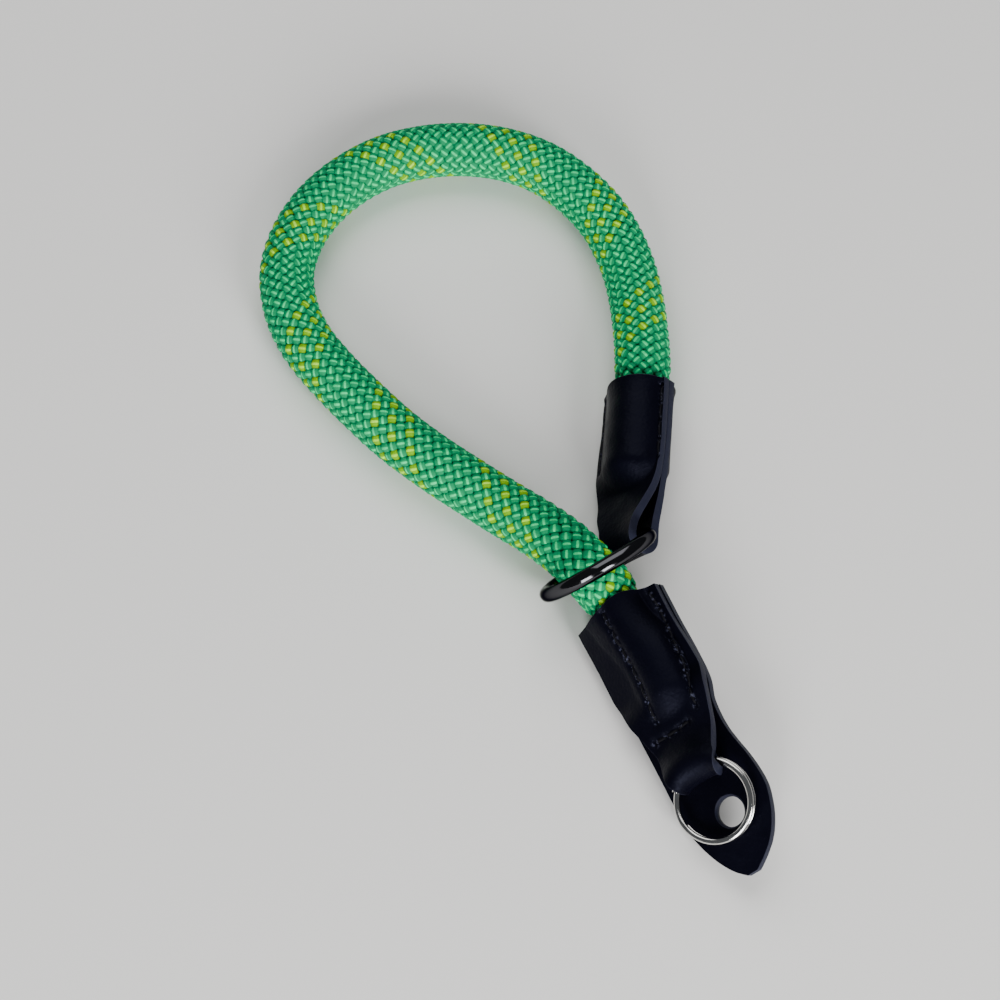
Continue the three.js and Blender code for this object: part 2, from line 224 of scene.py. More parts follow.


# A yarn's colour carries painted shade where it dives under another, and a painted highlight, a pale dash, on
# each float's top; strength scales that painted highlight.
def yarnMaterial(name, valleyShade, body, crownHighlight, strength):
    look = Finish(name)
    lay = look.add("ShaderNodeUVMap", uv_map="lay").outputs["UV"]
    parts = look.add("ShaderNodeSeparateXYZ")
    look.join(lay, parts.inputs[0])
    fraction = look.math("FRACT", look.math("ADD", parts.outputs[0], 0.5))
    fromMiddle = look.math("ABSOLUTE", look.math("SUBTRACT", fraction, 0.5))
    fromTop = look.math("ABSOLUTE", look.math("SUBTRACT", parts.outputs[1], 0.25))
    # Painted shade: darker towards the valleys where the yarn dives under another.
    outOfShade = look.ramp(fromMiddle, *yarnFinish["outOfShade"])
    # Painted highlight: a pale dash on each float's crown, broken up by the filaments and patches.
    highlightLength = look.ramp(fromMiddle, *yarnFinish["highlightLength"])
    highlightWidth = look.ramp(fromTop, *yarnFinish["highlightWidth"])
    highlightDash = look.math("MULTIPLY", highlightLength, highlightWidth)
    stretch = look.add("ShaderNodeMapping")
    look.join(lay, stretch.inputs["Vector"])
    stretch.inputs["Scale"].default_value = yarnFinish["filaments"]
    filament = look.noise(stretch.outputs[0], 1.0, 2.0, 0.6)
    patch = look.noise(look.objectPoint(), yarnFinish["patches"], 2.0)
    highlightDash = look.math("MULTIPLY", highlightDash, look.ramp(filament, 0.25, 0.62, 0.6, 1.0))
    highlightDash = look.math("MULTIPLY", highlightDash, strength)
    highlightDash = look.math("MULTIPLY", highlightDash, look.ramp(patch, 0.3, 0.7, 0.7, 1.1), clamp=True)
    base = look.blend(outOfShade, valleyShade, body)
    look.colour(look.blend(highlightDash, base, crownHighlight))
    look.roughness(look.ramp(filament, 0.2, 0.8, *yarnFinish["roughness"]))
    look.set(Specular_IOR_Level=yarnFinish["shine"])
    look.bump(filament, yarnFinish["filamentDepth"], 0.7)
    return look.material


leatherFinish = {
    "dark": (0.0009, 0.0009, 0.0026),
    "light": (0.0024, 0.0024, 0.0062),
    "scuffed": (0.022, 0.023, 0.045),
    # The pale flecks' colour is painted highlight, laid along the seams' creases.
    "glintColour": (0.060, 0.064, 0.105),
    "pebbles": 1500.0,
    "grain": 2600.0,
    "grainDepth": 0.00009,
    "patches": 130.0,
    "patchDepth": 0.0006,
    "scuffs": 900.0,
    "flecks": 1250.0,
    "roughness": (0.38, 0.50),
    "shine": 0.06,
    "shineTint": (0.62, 0.66, 1.0, 1.0),
}


# Dark smooth leather with a fine grain and a few scuffs, and pale flecks of painted highlight where the
# attribute from the seams' creases is 1.
def leatherMaterial(name):
    form = leatherFinish
    look = Finish(name)
    point = look.objectPoint()
    pebbles = look.add("ShaderNodeTexVoronoi", feature="SMOOTH_F1")
    look.join(point, pebbles.inputs["Vector"])
    pebbles.inputs["Scale"].default_value = form["pebbles"]
    pebbles.inputs["Smoothness"].default_value = 0.4
    fine = look.noise(point, form["grain"], 4.0, 0.6)
    patch = look.noise(point, form["patches"], 4.0, 0.6)
    scuff = look.ramp(look.noise(point, form["scuffs"], 6.0, 0.75), 0.63, 0.76, 0.0, 0.5)
    scuff = look.math("MULTIPLY", scuff, look.ramp(patch, 0.45, 0.65))
    # Pale flecks of painted highlight, where the seams press the leather in.
    creaseGlint = look.add("ShaderNodeAttribute", attribute_name="creaseGlint").outputs["Fac"]
    glintFleck = look.ramp(look.noise(point, form["flecks"], 4.0, 0.7), 0.54, 0.64)
    glintFleck = look.math("MULTIPLY", glintFleck, creaseGlint)
    tint = look.blend(patch, form["dark"], form["light"])
    tint = look.blend(scuff, tint, form["scuffed"])
    look.colour(look.blend(glintFleck, tint, form["glintColour"]))
    look.roughness(look.ramp(patch, 0.3, 0.7, *form["roughness"]))
    look.set(Specular_IOR_Level=form["shine"], Specular_Tint=form["shineTint"])
    height = look.math("MULTIPLY", pebbles.outputs["Distance"], 0.8)
    height = look.math("ADD", height, look.math("MULTIPLY", fine, 0.5))
    grain = look.bump(height, form["grainDepth"], 0.55)
    look.bump(patch, form["patchDepth"], 0.35, grain)
    return look.material


def cutEdgeMaterial(name, dark, light):
    look = Finish(name)
    point = look.objectPoint()
    fibre = look.noise(point, 2400.0, 5.0, 0.7)
    patch = look.noise(point, 300.0, 3.0)
    tint = look.blend(fibre, dark, light)
    look.colour(look.blend(look.math("MULTIPLY", patch, 0.4), tint, dark))
    look.set(Roughness=0.6, Specular_IOR_Level=0.2)
    look.bump(fibre, 0.0001, 0.6)
    return look.material


# Black thread with painted highlights in small pale flecks.
def threadMaterial(name, dark, light, threadGlintColour):
    look = Finish(name)
    twist = look.noise(look.objectPoint(), 3500.0, 3.0)
    # Pale flecks of painted highlight on the thread.
    glintFleck = look.ramp(look.noise(look.objectPoint(), 1250.0, 4.0, 0.7), 0.56, 0.66)
    look.colour(look.blend(glintFleck, look.blend(twist, dark, light), threadGlintColour))
    look.set(Roughness=0.6, Specular_IOR_Level=0.1)
    look.bump(twist, 0.00008, 0.6)
    return look.material


# Polished plating, a little rubbed. The edge is how bright it is where it is seen at a slant.
def metalMaterial(name, colour, roughness, rubbed, edge):
    look = Finish(name)
    point = look.objectPoint()
    rub = look.noise(point, 700.0, 6.0, 0.7)
    patch = look.noise(point, 160.0, 3.0)
    dulled = tuple(0.86 * part for part in colour)
    look.colour(look.blend(patch, colour, dulled))
    look.roughness(look.ramp(rub, 0.35, 0.75, roughness, roughness + rubbed))
    look.set(Metallic=1.0, Specular_Tint=(edge, edge, edge, 1.0))
    look.bump(rub, 0.00002, 0.25)
    return look.material


materials = {
    # Each yarn finish: painted valley shade, the body's own colour, a painted crown highlight, and the
    # painted highlight's strength.
    "green": yarnMaterial("greenYarn", (0.0, 0.042, 0.017), (0.0, 0.245, 0.090), (0.0, 0.82, 0.26), 1.0),
    "yellow": yarnMaterial("yellowYarn", (0.02, 0.08, 0.0), (0.16, 0.40, 0.0), (0.48, 1.0, 0.04), 0.95),
    "leather": leatherMaterial("leatherGrain"),
    "cutEdge": cutEdgeMaterial("leatherCutEdge", (0.004, 0.005, 0.013), (0.014, 0.016, 0.038)),
    # A paler copy of the cut edge for the rounded rims, as a painted highlight.
    "rimHighlight": cutEdgeMaterial("leatherRimHighlight", (0.010, 0.011, 0.024), (0.030, 0.033, 0.062)),
    # The thread's last colour is the pale colour of its painted highlight flecks.
    "thread": threadMaterial(
        "blackThread", (0.0006, 0.0006, 0.0014), (0.0030, 0.0030, 0.0060), (0.050, 0.053, 0.085)),
    "gunmetal": metalMaterial("blackNickel", (0.062, 0.062, 0.068), 0.07, 0.06, 0.30),
    "nickel": metalMaterial("nickel", (0.66, 0.65, 0.63), 0.10, 0.10, 1.0),
}
print("materials ready")

# The camera stands in front of the strap and looks down on it.
viewPoint = {
    "target": (-0.0271, 0.0276, 0.0), "elevation": 62.0, "distance": 0.4,
    "lens": 75.9, "sensor": 36.0, "clip": (0.01, 20.0),
}
elevation = math.radians(viewPoint["elevation"])
back = Vector((0, -math.cos(elevation), math.sin(elevation)))  # from the target to the camera
bpy.ops.object.camera_add(location=Vector(viewPoint["target"]) + back * viewPoint["distance"])
camera = bpy.context.active_object
camera.rotation_euler = (-back).to_track_quat("-Z", "Y").to_euler()
camera.data.lens = viewPoint["lens"]
camera.data.sensor_width = viewPoint["sensor"]
camera.data.clip_start, camera.data.clip_end = viewPoint["clip"]
bpy.context.scene.camera = camera

# The rope's middle, from inside the slider's leather round the loop into the camera's end.
ropeRoute = [
    (-0.0014, 0.0312, 0.0074), (-0.00065, 0.0402, 0.00775), (-0.00005, 0.0472, 0.008),
    (0.0003, 0.053, 0.00775), (0.0003, 0.0591, 0.0069), (-0.0002, 0.0676, 0.006),
    (-0.0014, 0.0756, 0.0056), (-0.0037, 0.0831, 0.00555), (-0.0071, 0.0899, 0.00555),
    (-0.0121, 0.0961, 0.00555), (-0.0184, 0.1013, 0.00555), (-0.0259, 0.1046, 0.00555),
    (-0.0341, 0.1059, 0.00555), (-0.0426, 0.1053, 0.00555), (-0.0506, 0.1028, 0.00555),
    (-0.0578, 0.0981, 0.00555), (-0.0636, 0.0918, 0.00555), (-0.0676, 0.0841, 0.00555),
    (-0.0693, 0.0756, 0.00555), (-0.0681, 0.0671, 0.00555), (-0.0647, 0.0594, 0.00555),
    (-0.0596, 0.0524, 0.00555), (-0.0537, 0.0457, 0.00555), (-0.0471, 0.0389, 0.00555),
    (-0.0404, 0.0332, 0.00555), (-0.0333, 0.0279, 0.0056), (-0.0263, 0.0227, 0.006),
    (-0.0202, 0.0179, 0.0072), (-0.0153, 0.0132, 0.0087), (-0.0116, 0.0091, 0.009),
    (-0.009, 0.0063, 0.0083), (-0.0073, 0.0042, 0.0075), (-0.00585, 0.0012, 0.00705),
    (-0.0043, -0.0015, 0.007), (-0.00245, -0.0042, 0.00735), (0.00075, -0.0091, 0.0079),
    (0.003, -0.0141, 0.0078),
]
ropeForm = {
    "radius": 5.5 * mm,
    "sewnRadius": (4.1 * mm, 3.7 * mm),
    "squeezeFrom": -4.5 * mm,
    "squeezeTo": 1.5 * mm,
    "insertion": (16.0 * mm, 17.4 * mm),
    "coreRadius": 4.42 * mm,
    "coreSides": 24,
    "coreSteps": 420,
    "braidInside": 7.0 * mm,
    "yarnsEachWay": 12,
    "pitch": 26.5 * mm,
    "turnsAt": [d * mm for d in (31.7, 57.6, 83.1, 109.6, 136.1, 162.6, 188.1, 215.6, 243.5)],
    "twistFrom": 210.0 * mm,
    "twistTo": 246.0 * mm,
    "twist": -24.0,
    "tracers": (0, 2, 4),
    "yarnWidth": 1.72 * mm,
    "yarnThickness": 0.82 * mm,
    "swellAcross": 0.10,
    "swellUp": 0.06,
    "stepsPerCrossing": 3,
    "wander": 0.10 * mm,
    "wanderEvery": 40,
}
# A yarn's section, in half widths across and half heights up, finer on the side that shows.
yarnSection = [
    (1.0, 0.0), (0.82, 0.62), (0.34, 0.96), (-0.34, 0.96), (-0.82, 0.62), (-1.0, 0.0),
    (-0.5, -0.8), (0.5, -0.8),
]


# The smooth line through the points that the frame's rope follows too: centripetal Catmull-Rom.
def routeLine(points, perSpan=24):
    p = np.array(points, float)
    p = np.vstack([2 * p[0] - p[1], p, 2 * p[-1] - p[-2]])
    line = []
    for k in range(1, len(p) - 2):
        p0, p1, p2, p3 = p[k - 1:k + 3]
        d0, d1, d2 = (math.sqrt(np.linalg.norm(b - a)) for a, b in ((p0, p1), (p1, p2), (p2, p3)))
        leave = ((p1 - p0) / d0 - (p2 - p0) / (d0 + d1) + (p2 - p1) / d1) * d1
        arrive = ((p2 - p1) / d1 - (p3 - p1) / (d1 + d2) + (p3 - p2) / d2) * d1
        for t in np.arange(perSpan) / perSpan:
            line.append(
                (2 * t ** 3 - 3 * t ** 2 + 1) * p1 + (t ** 3 - 2 * t ** 2 + t) * leave
                + (3 * t ** 2 - 2 * t ** 3) * p2 + (t ** 3 - t ** 2) * arrive
            )
    line.append(p[-2])
    return np.array(line)


ropeLine = routeLine(ropeRoute)
ropeSteps = np.r_[0, np.cumsum(np.linalg.norm(np.diff(ropeLine, axis=0), axis=1))]
ropeLength = float(ropeSteps[-1])


def ropeCentre(s):
    return np.stack([np.interp(s, ropeSteps, ropeLine[:, i]) for i in range(3)], axis=1)


# The rope's centre, and the directions up and to the right of it, at distances along the rope.
def ropeFrame(s, reach=0.8 * mm):
    ahead = unit(ropeCentre(s + reach) - ropeCentre(s - reach))
    up = unit(np.array([0, 0, 1.0]) - ahead[:, 2:3] * ahead)
    return ropeCentre(s), up, np.cross(ahead, up)


# How much thinner the rope is where it is squeezed into its leather.
def squeezeAt(s):
    form = ropeForm
    depths = (form["insertion"][0] - s, form["insertion"][1] - (ropeLength - s))
    thin = [
        mix(1.0, sewn / form["radius"], smooth(depth, form["squeezeFrom"], form["squeezeTo"]))
        for depth, sewn in zip(depths, form["sewnRadius"])
    ]
    return np.minimum(*thin)


def buildCore():
    s = np.linspace(0, ropeLength, ropeForm["coreSteps"])
    centre, up, right = ropeFrame(s)
    radius = ropeForm["coreRadius"] * squeezeAt(s)
    rows = centre[:, None] + radius[:, None, None] * circle(up, right, ropeForm["coreSides"])
    faces = tubeFaces(rows)
    plainMap = np.zeros((sum(len(face) for face in faces), 2))
    obj = meshFrom("rope_core", rows.reshape(-1, 3), faces, plainMap)
    obj.data.materials.append(materials["green"])
    return obj


# Steps along the braid: how far the yarns have turned round the rope, and the distances there.
# The middle tracer comes round to the rope's top at each of the distances in turnsAt, and the
# yarns wind on at the same pitch before the first of them and after the last.
def braidSteps():
    form = ropeForm
    turnsBefore = 2
    knots = np.array(form["turnsAt"])
    knots = np.r_[knots[0] - turnsBefore * form["pitch"], knots, knots[-1] + form["pitch"]]
    knotTurns = np.r_[-turnsBefore, np.arange(len(form["turnsAt"]) + 1)]
    first = form["insertion"][0] - form["braidInside"]
    last = ropeLength - form["insertion"][1] + form["braidInside"]
    step = 1 / (2 * form["yarnsEachWay"] * form["stepsPerCrossing"])
    turns = np.arange(np.interp(first, knots, knotTurns), np.interp(last, knots, knotTurns), step)
    middleTracer = form["tracers"][1]
    return turns - middleTracer / form["yarnsEachWay"], np.interp(turns, knotTurns, knots)


# One set of yarns: each winds round the rope one way and passes over and under the other set.
def buildYarns(name, numbers, way, colour, seed):
    random = np.random.default_rng(seed)
    form = ropeForm
    turns, s = braidSteps()
    centre, up, right = ropeFrame(s)
    side = way * np.cos(2 * math.pi * turns * form["yarnsEachWay"])  # 1 on top of the braid, -1 below
    squeeze = squeezeAt(s)
    twist = math.radians(form["twist"]) * smooth(s, form["twistFrom"], form["twistTo"])
    halfWidth = form["yarnWidth"] / 2 * (1 - form["swellAcross"] + form["swellAcross"] * side) * squeeze
    halfHeight = form["yarnThickness"] / 2 * (1 + form["swellUp"] * side)
    lift = form["yarnThickness"] / 2
    radius = (form["radius"] - 2 * lift + lift * side) * squeeze
    phase = turns * form["yarnsEachWay"] + (0.0 if way > 0 else 0.5)
    wanderKnots = s[::form["wanderEvery"]]
    around = [math.atan2(b, a) / (2 * math.pi) % 1.0 for a, b in yarnSection] + [1.0]
    sides = len(yarnSection)
    # The closed ends get the painted valley shade's colour.
    capUv = (0.5, 0.75)  # the closed ends have the valley's colour
    allRows, allFaces, allUvs = [], [], []
    for number in numbers:
        drift = np.interp(s, wanderKnots, random.normal(0, 1, len(wanderKnots))) * form["wander"]
        angle = 2 * math.pi * (number / form["yarnsEachWay"] + way * turns) + twist + drift / form["radius"]
        outward = np.cos(angle)[:, None] * up + np.sin(angle)[:, None] * right
        path = centre + radius[:, None] * outward
        along = unit(np.gradient(path, axis=0))
        top = unit(outward - (outward * along).sum(1)[:, None] * along)
        across = np.cross(top, along)
        rows = np.stack([
            path + (a * halfWidth)[:, None] * across + (b * halfHeight)[:, None] * top
            for a, b in yarnSection
        ], axis=1)
        allFaces += tubeFaces(rows, len(allRows) * len(s) * sides)
        allRows.append(rows)
        for i in range(len(s) - 1):
            for k in range(sides):
                allUvs += [
                    (phase[i], around[k]), (phase[i], around[k + 1]),
                    (phase[i + 1], around[k + 1]), (phase[i + 1], around[k]),
                ]
        allUvs += [capUv] * (2 * sides)
    points = np.concatenate([rows.reshape(-1, 3) for rows in allRows])
    obj = meshFrom(name, points, allFaces, allUvs)
    obj.data.materials.append(materials[colour])
    return obj


ropeCore = buildCore()
allYarns = range(ropeForm["yarnsEachWay"])
plainYarns = [number for number in allYarns if number not in ropeForm["tracers"]]
braid = [
    buildYarns("braid_right", plainYarns, 1, "green", 11),
    buildYarns("braid_tracers", ropeForm["tracers"], 1, "yellow", 12),
    buildYarns("braid_left", allYarns, -1, "green", 13),
]
place(ropeCore, "rope", "rope")
for yarns in braid:
    place(yarns, "rope")
print("rope", round(ropeLength / mm, 1), "mm")

# The leather and the rings are drawn in millimetres, flat, in the place of their own end:
# u runs from the mouth along the leather, w across it to the right, and heights stand upwards.
leather = {
    "thickness": 1.5,
    "gap": 0.3,  # between two lays that lie loose on each other
    "seamGap": 0.1,  # between two lays that are sewn together
    "rowGap": 0.42,  # from row to row of the mesh
    "archTurn": 78.0,  # degrees to each side of the arch's top
    "archSteps": 37,
    "flangeSteps": 13,
    "slack": 0.2,  # between the rope and its pocket, past the gap
    "easing": 5,  # rounds of smoothing across the lay
    "easedAway": 0.06,  # what the smoothing takes off the arch
    "footReach": 0.15,
    "tent": 0.85,
    "archFade": (0.9, 6.5),  # past the rope's end
    "mouthFlare": 0.2,
    "flareRun": 4.0,
    "pocketRun": 13.0,
    "bowRun": (9.0, 1.0),  # before the fold's middle
    "bowLimit": 0.75,  # of the ring's radius
    "foldSlack": 0.3,
    "foldLift": 0.42,
    "ripple": 0.09,
    "rippleSize": 6.0,
    "fineRipple": 0.4,  # of the broad one
    "finer": 2.7,
    "creaseDepth": 0.3,
    "creaseWidth": 0.75,
    "holeDepth": 0.32,
    "holeWidth": 0.5,
    # From this part of the crease's depth, pale flecks of painted highlight are marked.
    "glintFrom": 0.4,  # of the crease's depth
    "stitchPitch": 3.5,
    "neckPitch": 2.6,
    "rimRound": 0.26,
    "sewnRim": 0.2,  # of the rim's rounding, where a rim is sewn to another
}
sliderEnd = {
    "mouth": (-0.2, 47.2, 7.85), "heading": -94.5, "dip": 2.0, "roll": 43.0, "twist": 11.0, "twistFrom": 18.0,
    "ropeEnd": 0, "insertion": 16.0, "pocketAtMouth": 0.2, "pocketInside": 0.1,
    "sewnTo": 19.0, "foldCentre": 31.8, "foldStep": 9.0, "neckShift": 0.0, "ripple": 3.7,
}
cameraEnd = {
    "mouth": (-5.0, 1.35, 7.35), "heading": -67.0, "dip": 1.5, "roll": 36.0, "twist": 0.0,
    "ropeEnd": 1, "insertion": 17.4, "pocketAtMouth": -0.9, "pocketInside": 1.85,
    "sewnTo": 17.0, "opening": (16.0, 21.4), "climbFrom": 26.5,
    "foldCentre": 32.7, "foldStep": 8.0, "neckShift": 0.6, "ripple": 9.3, "guardRipple": 5.1,
    "looseFold": 0.8, "tuckTaper": 0.7, "tuckedTo": 22.9, "tuckGap": 0.6,
    "tongue": 1.3, "tongueAt": 2.6, "tongueWidth": 3.6, "tongueFade": 6.0,
}
wireRing = {"coilRadius": 10.6, "wireRadius": 1.4, "tilt": 46.0, "segments": (180, 40)}
splitRing = {
    "coilRadius": 7.0, "wireWidth": 1.1, "wireHeight": 0.95, "corner": 0.42, "cornerSteps": 4, "steps": 300,
    "pitch": 1.03, "crossing": 26.0, "sag": -9.2, "turned": -105.0, "smoothAngle": 50.0,
}
guardHole = {"u": 42.1, "w": 1.4, "diameter": 5.3, "chamfer": 0.3, "overshoot": 1.0, "sides": 72}

# Outlines of the leather: u, then the left and the right edge there.
sliderOutline = [
    (0, -7.6, 7.0), (8, -7.9, 7.0), (15, -8.3, 6.8), (21, -8.2, 6.1), (26, -6.9, 5.0),
    (29.5, -5.2, 4.1), (36, -4.4, 3.9),
]
cameraOutline = [
    (0, -9.1, 8.4), (6.9, -8.8, 8.5), (14.9, -8.6, 9.2), (19.9, -7.5, 9.3), (24.9, -6.0, 8.0),
    (28.9, -4.5, 6.4), (32.9, -4.1, 5.5), (38.9, -4.1, 5.3),
]
guardOutline = [
    (0, -9.1, 8.6), (6.9, -8.8, 8.7), (14.9, -8.5, 9.0), (19.5, -8.3, 8.8), (23.5, -8.1, 7.7),
    (28.9, -7.9, 7.7), (35.9, -7.7, 9.2), (40.9, -7.5, 9.6), (44.4, -6.6, 8.8), (47.4, -5.4, 7.45),
    (49.9, -4.0, 5.6), (51.9, -2.4, 3.2), (53.2, -0.9, 1.2),
]

# Heights of the lays' middles.
layPitch = leather["thickness"] + leather["gap"]
flatLevel = layPitch / 2
sewnLevel = (leather["thickness"] + leather["seamGap"]) / 2
guardLevel = -flatLevel
tuckLevel = guardLevel + layPitch
stripLevel = tuckLevel + layPitch

# The split ring's fold is an oval round its wire, and the slider's is round.
ringHalfHeight = (splitRing["pitch"] + splitRing["wireHeight"]) / 2
foldReach = splitRing["wireWidth"] / 2 + leather["foldSlack"] + layPitch / 2
foldRise = ringHalfHeight + leather["foldSlack"] + leather["foldLift"] + layPitch / 2
splitFoldLevel = tuckLevel + foldRise
sliderFold = wireRing["wireRadius"] + leather["foldSlack"] + layPitch / 2

archTurns = np.radians(np.linspace(-leather["archTurn"], leather["archTurn"], leather["archSteps"]))
columnCount = 2 * leather["flangeSteps"] + leather["archSteps"]


# A smooth curve through a column of an outline.
def readTable(table, column, u):
    last = len(table) - 1
    at = min(max(u, table[0][0]), table[last][0])
    row = 0
    while row < last - 1 and table[row + 1][0] < at:
        row += 1

    def slope(index):
        before, after = table[max(index - 1, 0)], table[min(index + 1, last)]
        return (after[column] - before[column]) / (after[0] - before[0])

    start, end = table[row], table[row + 1]
    span = end[0] - start[0]
    t = (at - start[0]) / span
    return (
        (2 * t ** 3 - 3 * t ** 2 + 1) * start[column] + (3 * t ** 2 - 2 * t ** 3) * end[column]
        + (t ** 3 - 2 * t ** 2 + t) * span * slope(row) + (t ** 3 - t ** 2) * span * slope(row + 1)
    )


# The rope's radius under the leather.
def sewnRadius(end, u):
    form = ropeForm
    sewn = form["sewnRadius"][end["ropeEnd"]]
    return mix(form["radius"], sewn, smooth(u * mm, form["squeezeFrom"], form["squeezeTo"])) / mm


# How far to the right the rope's pocket lies.
def pocketShift(end, u):
    return mix(end["pocketAtMouth"], end["pocketInside"], smooth(u, 0, leather["pocketRun"]))


# Across and height of a lay's middle at u: an arch over the rope, then the flat level given.
# With a tent of 1 the left side runs straight down from the arch to its edge.
def layProfile(outline, end, u, level, tent=0.0):
    left, right = readTable(outline, 1, u), readTable(outline, 2, u)
    fadeFrom, fadeTo = (end["insertion"] + past for past in leather["archFade"])
    arch = 1 - smooth(u, fadeFrom, fadeTo)
    flare = leather["mouthFlare"] * (1 - smooth(u, 0, leather["flareRun"]))
    # Where the pocket shifts, it crosses the leather at a slant and takes more of its width.
    centre = pocketShift(end, u)
    lean = math.hypot(1, pocketShift(end, u + 0.5) - pocketShift(end, u - 0.5))
    clear = leather["gap"] + leather["slack"] + leather["easedAway"] + flare + leather["thickness"] / 2
    radius = sewnRadius(end, u) * lean + clear
    foot = radius + leather["footReach"]
    steps = np.linspace(0, 1, leather["flangeSteps"])
    flange = np.full(leather["flangeSteps"], level)
    leftFlange, rightFlange = mix(left, centre - foot, steps), mix(centre + foot, right, steps)
    across = np.r_[leftFlange, centre + radius * np.sin(archTurns), rightFlange]
    height = np.r_[flange, np.maximum(radius * np.cos(archTurns), level), flange]
    # The tent leaves the arch where a line from the left edge just touches it.
    leave = math.atan2(centre - left, level) - math.acos(min(radius / math.hypot(left - centre, level), 1))
    touchX, touchZ = centre - radius * math.sin(leave), radius * math.cos(leave)
    slope = level + (across - left) / (touchX - left) * (touchZ - level)
    height = np.where(across < touchX, mix(height, np.maximum(height, slope), tent), height)
    across = mix(mix(left, right, np.linspace(0, 1, columnCount)), across, arch)
    height = mix(level, height, arch)
    # Thick leather can't fold sharply, so the feet of the arch are eased.
    for _ in range(leather["easing"]):
        for values in (across, height):
            values[1:-1] = 0.25 * values[:-2] + 0.5 * values[1:-1] + 0.25 * values[2:]
    return across, height


def endPlace(end):
    turns = [math.radians(end[key]) for key in ("roll", "dip", "heading")]
    return Matrix.Translation(Vector(end["mouth"]) * mm) @ Euler(turns, "XYZ").to_matrix().to_4x4()


# On its way into the fold the leather bows with the ring's wire.
def followWire(points, end, radius, tilt):
    bowFrom, bowTo = (end["foldCentre"] - before for before in leather["bowRun"])
    near = smooth(points[:, 0], bowFrom, bowTo)
    reach = np.minimum(np.abs(points[:, 1] - end["neckShift"]), leather["bowLimit"] * radius)
    bow = (radius - np.sqrt(radius ** 2 - reach ** 2)) * near
    points[:, 0] += bow * math.cos(math.radians(tilt))
    points[:, 2] += bow * math.sin(math.radians(tilt))
    return points


# The slider's leather turns about its length on its way to the ring.
def twistPoints(points, end):
    turn = np.radians(end["twist"]) * smooth(points[:, 0], end["twistFrom"], end["foldCentre"])
    y, z = points[:, 1].copy(), points[:, 2].copy()
    points[:, 1] = y * np.cos(turn) - z * np.sin(turn)
    points[:, 2] = y * np.sin(turn) + z * np.cos(turn)
    return points


# How far the seams' crease and holes press the leather in at a place on it.
def seamDepth(u, w, seams):
    depth = np.zeros_like(w)
    for holes in seams:
        line = np.zeros_like(w)
        for (u0, w0), (u1, w1) in zip(holes[:-1], holes[1:]):
            du, dw = u1 - u0, w1 - w0
            t = np.clip(((u - u0) * du + (w - w0) * dw) / (du * du + dw * dw), 0, 1)
            away = np.hypot(u - u0 - t * du, w - w0 - t * dw)
            line = np.maximum(line, leather["creaseDepth"] * np.exp(-(away / leather["creaseWidth"]) ** 2))
        depth = np.maximum(depth, line)
        for u0, w0 in holes:
            away = np.hypot(u - u0, w - w0)
            depth = depth + leather["holeDepth"] * np.exp(-(away / leather["holeWidth"]) ** 2)
    return depth


# How far the leather's unevenness presses it in.
def rippleAt(u, w, seed):
    size, finer = leather["rippleSize"], leather["finer"]
    values = []
    for v in w:
        broad = noise.noise(Vector((u / size, v / size, seed)))
        fine = noise.noise(Vector((finer * u / size, finer * v / size, seed)))
        values.append(broad + leather["fineRipple"] * fine)
    return leather["ripple"] * np.array(values)


def evenly(first, last, gap):
    return np.linspace(first, last, max(2, round(abs(last - first) / gap) + 1))


# Holes a stitch apart along a line of places on the leather.
def stitchHoles(line, pitch=leather["stitchPitch"]):
    line = np.array(line, float)
    run = np.r_[0, np.cumsum(np.linalg.norm(np.diff(line, axis=0), axis=1))]
    at = np.linspace(0, run[-1], round(run[-1] / pitch) + 1)
    return [(float(np.interp(s, run, line[:, 0])), float(np.interp(s, run, line[:, 1]))) for s in at]


def readPoints(mesh):
    values = np.empty(3 * len(mesh.vertices), np.float32)
    mesh.vertices.foreach_get("co", values)
    return values.reshape(-1, 3)


def writePoints(mesh, points):
    mesh.vertices.foreach_set("co", points.astype(np.float32).ravel())
    mesh.update()


# The cut edges are rounded, and less so where the inner face is sewn to another. The rounding takes a paler
# cut edge as a painted highlight.
def bevelRim(obj, row, column, joined):
    lastRow, lastColumn = row.max(), column.max()
    ends = np.empty(2 * len(obj.data.edges), int)
    obj.data.edges.foreach_get("vertices", ends)
    ends = ends.reshape(-1, 2)
    inner, at = ends < len(row), ends % len(row)
    rowOf, columnOf = row[at], column[at]
    onEnd = (rowOf == 0).all(1) | (rowOf == lastRow).all(1)
    onSide = (columnOf == 0).all(1) | (columnOf == lastColumn).all(1)
    onRim = (onEnd | onSide) & (inner[:, 0] == inner[:, 1])
    throughWall = at[:, 0] == at[:, 1]
    corner = throughWall & np.isin(rowOf[:, 0], (0, lastRow)) & np.isin(columnOf[:, 0], (0, lastColumn))
    sewn = inner.all(1) & onSide & np.array(joined)[rowOf[:, 0]]
    weights = np.where(onRim | corner, np.where(sewn, leather["sewnRim"], 1.0), 0.0)
    weight = obj.data.attributes.new("bevel_weight_edge", "FLOAT", "EDGE")
    weight.data.foreach_set("value", weights.astype(np.float32))
    rim = obj.modifiers.new("rim", "BEVEL")
    rim.width = leather["rimRound"] * mm
    rim.segments = 3
    rim.limit_method = "WEIGHT"
    # The rounded rims get the paler cut edge, a painted highlight.
    rim.material = 2  # rimHighlight
    applyAll(obj)


